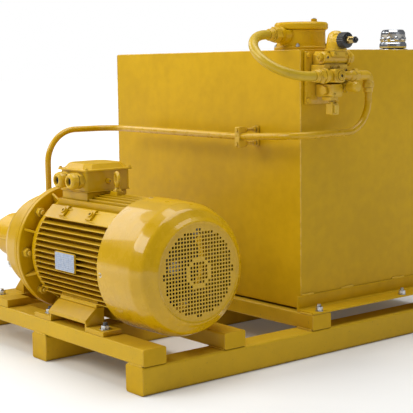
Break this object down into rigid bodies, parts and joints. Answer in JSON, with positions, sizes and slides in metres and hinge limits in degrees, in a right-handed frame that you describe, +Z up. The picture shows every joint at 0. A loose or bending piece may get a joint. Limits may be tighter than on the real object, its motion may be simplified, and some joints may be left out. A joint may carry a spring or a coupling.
{
  "type": "hydraulic power unit",
  "caption": "Skid-mounted hydraulic power unit: finned electric motor, bellhousing and pump beside a welded oil tank with filter, breather, valve block, steel pressure tube and return hose.",
  "frame": {"origin": "on the floor at the middle of the unit's footprint", "axes": "+Z up, +X along the motor axis towards its fan, +Y from the motor to the tank"},
  "size_m": [1.481, 1.863, 1.281],
  "materials": {
    "yellow_paint": "gloss enamel, ochre yellow",
    "steel": "machined",
    "zinc": "zinc plated",
    "chrome": "polished chrome plate",
    "cast_iron": "as cast, primed",
    "pump_paint": "satin blue-grey",
    "black_plastic": "moulded, matt",
    "rubber": "moulded",
    "copper": "varnished windings",
    "brass": "turned",
    "filter_paper": "pleated paper",
    "gauge_glass": "clear",
    "nameplate": "blank anodised plate"
  },
  "bodies": {
    "unit": {"skid_beam_front": "yellow_paint", "skid_beam_middle": "yellow_paint", "skid_beam_rear": "yellow_paint", "motor_rail_outer": "yellow_paint", "motor_rail_inner": "yellow_paint", "tank_rail_inner": "yellow_paint", "tank_rail_rear": "yellow_paint", "tank_shell": "yellow_paint", "tank_foot_front": "yellow_paint", "tank_foot_rear": "yellow_paint", "tank_baffle": "steel", "cleanout_cover": "yellow_paint", "level_gauge_body": "black_plastic", "return_filter_head": "yellow_paint", "return_filter_bowl": "steel", "return_filter_element": "filter_paper", "filter_hose_fitting": "yellow_paint", "breather_flange": "chrome", "motor_frame": "yellow_paint", "motor_foot_outer": "yellow_paint", "motor_foot_inner": "yellow_paint", "motor_drive_shield": "yellow_paint", "motor_fan_shield": "yellow_paint", "motor_bearing_drive": "steel", "motor_bearing_fan": "steel", "stator": "copper", "fan_cowl": "yellow_paint", "terminal_box": "yellow_paint", "terminal_box_lid": "yellow_paint", "cable_gland_near": "yellow_paint", "cable_gland_far": "yellow_paint", "eyebolt": "yellow_paint", "bellhousing": "yellow_paint", "pump_body": "pump_paint", "bellhousing_support": "yellow_paint", "suction_elbow": "yellow_paint", "suction_compensator": "rubber", "suction_valve_body": "yellow_paint", "valve_mount_plate": "yellow_paint", "manifold_block": "yellow_paint", "lower_block": "yellow_paint", "cartridge_valve": "yellow_paint", "pressure_switch": "yellow_paint", "relief_valve_body": "yellow_paint", "manifold_hose_fitting": "yellow_paint", "pressure_elbow": "yellow_paint", "pressure_tube": "yellow_paint", "pipe_clamp": "yellow_paint", "return_hose": "yellow_paint"},
    "rotor": {"rotor_shaft": "steel", "cooling_fan": "black_plastic", "coupling_motor_half": "cast_iron", "coupling_spider": "rubber"},
    "pump_rotor": {"coupling_pump_half": "cast_iron", "pump_shaft": "steel"},
    "relief_adjuster": {"relief_valve_knob": "black_plastic", "relief_valve_stem": "brass"},
    "suction_lever": {"suction_valve_lever": "black_plastic"},
    "filter_lid": {"return_filter_lid": "yellow_paint"},
    "filler_cap": {"breather_cap": "chrome"}
  },
  "joints": [
    {"name": "rotor_spin", "type": "hinge", "parent": "unit", "child": "rotor", "pos_m": [0.1, -0.6865, 0.398], "axis": [1, 0, 0], "continuous": true},
    {"name": "pump_spin", "type": "hinge", "parent": "unit", "child": "pump_rotor", "pos_m": [-0.4, -0.6865, 0.398], "axis": [1, 0, 0], "continuous": true},
    {"name": "relief_adjust", "type": "hinge", "parent": "unit", "child": "relief_adjuster", "pos_m": [0.67, 0.0065, 1.189], "axis": [1, 0, 0], "range_deg": [-360, 360]},
    {"name": "suction_shutoff", "type": "hinge", "parent": "unit", "child": "suction_lever", "pos_m": [-0.5555, -0.2415, 0.31], "axis": [0, 0, 1], "range_deg": [0, 90]},
    {"name": "filter_lid_lift", "type": "slide", "parent": "unit", "child": "filter_lid", "axis": [0, 0, 1], "range_m": [0, 0.15]},
    {"name": "filler_cap_lift", "type": "slide", "parent": "unit", "child": "filler_cap", "axis": [0, 0, 1], "range_m": [0, 0.12]}
  ],
  "couplings": [
    {"joint": "pump_spin", "follows": "rotor_spin", "ratio": 1}
  ]
}
